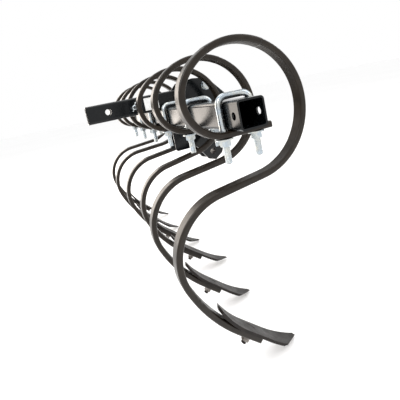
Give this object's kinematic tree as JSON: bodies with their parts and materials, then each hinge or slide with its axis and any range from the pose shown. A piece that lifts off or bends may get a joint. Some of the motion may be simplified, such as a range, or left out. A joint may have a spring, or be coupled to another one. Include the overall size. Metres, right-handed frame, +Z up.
{
  "type": "spring tine toolbar",
  "caption": "Square steel toolbar with coil spring tines on U-bolts, each ending in a bolted chisel shovel, and a centre drawbar with hitch plates.",
  "frame": {"origin": "Centre of the lower hitch pivot bore, in the machine's middle plane", "axes": "+X forward to the towing machine, +Y along the toolbar to its left end, +Z up"},
  "size_m": [0.422, 1.004, 0.6068],
  "materials": {
    "black_paint": "satin",
    "spring_steel": "satin",
    "shovel_steel": "satin",
    "zinc": "satin",
    "dark_fastener": "satin",
    "label_film": "satin"
  },
  "bodies": {
    "frame": {"toolbar_tube": "black_paint", "drawbar_tube": "black_paint", "hitch_plate_right": "black_paint", "hitch_plate_left": "black_paint", "hitch_pivot_tube": "black_paint", "hitch_spacer": "zinc", "hitch_bolt": "zinc", "hitch_nut": "zinc", "hitch_washers": "zinc", "drawbar_lock_pin": "zinc", "drawbar_pin_clip": "zinc", "drawbar_label": "label_film"},
    "tine_1_clamp": {"tine_1_coil": "spring_steel", "tine_1_u_bolt": "zinc", "tine_1_washers": "zinc", "tine_1_nuts": "zinc"},
    "tine_1_tail": {"tine_1_shank": "spring_steel", "tine_1_shovel": "shovel_steel", "tine_1_shovel_bolt": "dark_fastener", "tine_1_shovel_nut": "dark_fastener"},
    "tine_2_clamp": {"tine_2_coil": "spring_steel", "tine_2_u_bolt": "zinc", "tine_2_washers": "zinc", "tine_2_nuts": "zinc"},
    "tine_2_tail": {"tine_2_shank": "spring_steel", "tine_2_shovel": "shovel_steel", "tine_2_shovel_bolt": "dark_fastener", "tine_2_shovel_nut": "dark_fastener"},
    "tine_3_clamp": {"tine_3_coil": "spring_steel", "tine_3_u_bolt": "zinc", "tine_3_washers": "zinc", "tine_3_nuts": "zinc"},
    "tine_3_tail": {"tine_3_shank": "spring_steel", "tine_3_shovel": "shovel_steel", "tine_3_shovel_bolt": "dark_fastener", "tine_3_shovel_nut": "dark_fastener"},
    "tine_4_clamp": {"tine_4_coil": "spring_steel", "tine_4_u_bolt": "zinc", "tine_4_washers": "zinc", "tine_4_nuts": "zinc"},
    "tine_4_tail": {"tine_4_shank": "spring_steel", "tine_4_shovel": "shovel_steel", "tine_4_shovel_bolt": "dark_fastener", "tine_4_shovel_nut": "dark_fastener"},
    "tine_5_clamp": {"tine_5_coil": "spring_steel", "tine_5_u_bolt": "zinc", "tine_5_washers": "zinc", "tine_5_nuts": "zinc"},
    "tine_5_tail": {"tine_5_shank": "spring_steel", "tine_5_shovel": "shovel_steel", "tine_5_shovel_bolt": "dark_fastener", "tine_5_shovel_nut": "dark_fastener"},
    "tine_6_clamp": {"tine_6_coil": "spring_steel", "tine_6_u_bolt": "zinc", "tine_6_washers": "zinc", "tine_6_nuts": "zinc"},
    "tine_6_tail": {"tine_6_shank": "spring_steel", "tine_6_shovel": "shovel_steel", "tine_6_shovel_bolt": "dark_fastener", "tine_6_shovel_nut": "dark_fastener"}
  },
  "joints": [
    {"name": "tine_1_slide", "type": "slide", "parent": "frame", "child": "tine_1_clamp", "axis": [0, 1, 0], "range_m": [-0.015, 0.04]},
    {"name": "tine_1_flex", "type": "hinge", "parent": "tine_1_clamp", "child": "tine_1_tail", "pos_m": [-0.098, -0.4475, 0.14341], "axis": [0, 1, 0], "range_deg": [0, 10], "stiffness_Nm_per_rad": 810},
    {"name": "tine_2_slide", "type": "slide", "parent": "frame", "child": "tine_2_clamp", "axis": [0, 1, 0], "range_m": [-0.04, 0.04]},
    {"name": "tine_2_flex", "type": "hinge", "parent": "tine_2_clamp", "child": "tine_2_tail", "pos_m": [-0.098, -0.2685, 0.14341], "axis": [0, 1, 0], "range_deg": [0, 10], "stiffness_Nm_per_rad": 810},
    {"name": "tine_3_slide", "type": "slide", "parent": "frame", "child": "tine_3_clamp", "axis": [0, 1, 0], "range_m": [-0.04, 0.025]},
    {"name": "tine_3_flex", "type": "hinge", "parent": "tine_3_clamp", "child": "tine_3_tail", "pos_m": [-0.098, -0.0895, 0.14341], "axis": [0, 1, 0], "range_deg": [0, 10], "stiffness_Nm_per_rad": 810},
    {"name": "tine_4_slide", "type": "slide", "parent": "frame", "child": "tine_4_clamp", "axis": [0, 1, 0], "range_m": [-0.025, 0.04]},
    {"name": "tine_4_flex", "type": "hinge", "parent": "tine_4_clamp", "child": "tine_4_tail", "pos_m": [-0.098, 0.0895, 0.14341], "axis": [0, 1, 0], "range_deg": [0, 10], "stiffness_Nm_per_rad": 810},
    {"name": "tine_5_slide", "type": "slide", "parent": "frame", "child": "tine_5_clamp", "axis": [0, 1, 0], "range_m": [-0.04, 0.04]},
    {"name": "tine_5_flex", "type": "hinge", "parent": "tine_5_clamp", "child": "tine_5_tail", "pos_m": [-0.098, 0.2685, 0.14341], "axis": [0, 1, 0], "range_deg": [0, 10], "stiffness_Nm_per_rad": 810},
    {"name": "tine_6_slide", "type": "slide", "parent": "frame", "child": "tine_6_clamp", "axis": [0, 1, 0], "range_m": [-0.04, 0.015]},
    {"name": "tine_6_flex", "type": "hinge", "parent": "tine_6_clamp", "child": "tine_6_tail", "pos_m": [-0.098, 0.4475, 0.14341], "axis": [0, 1, 0], "range_deg": [0, 10], "stiffness_Nm_per_rad": 810}
  ]
}
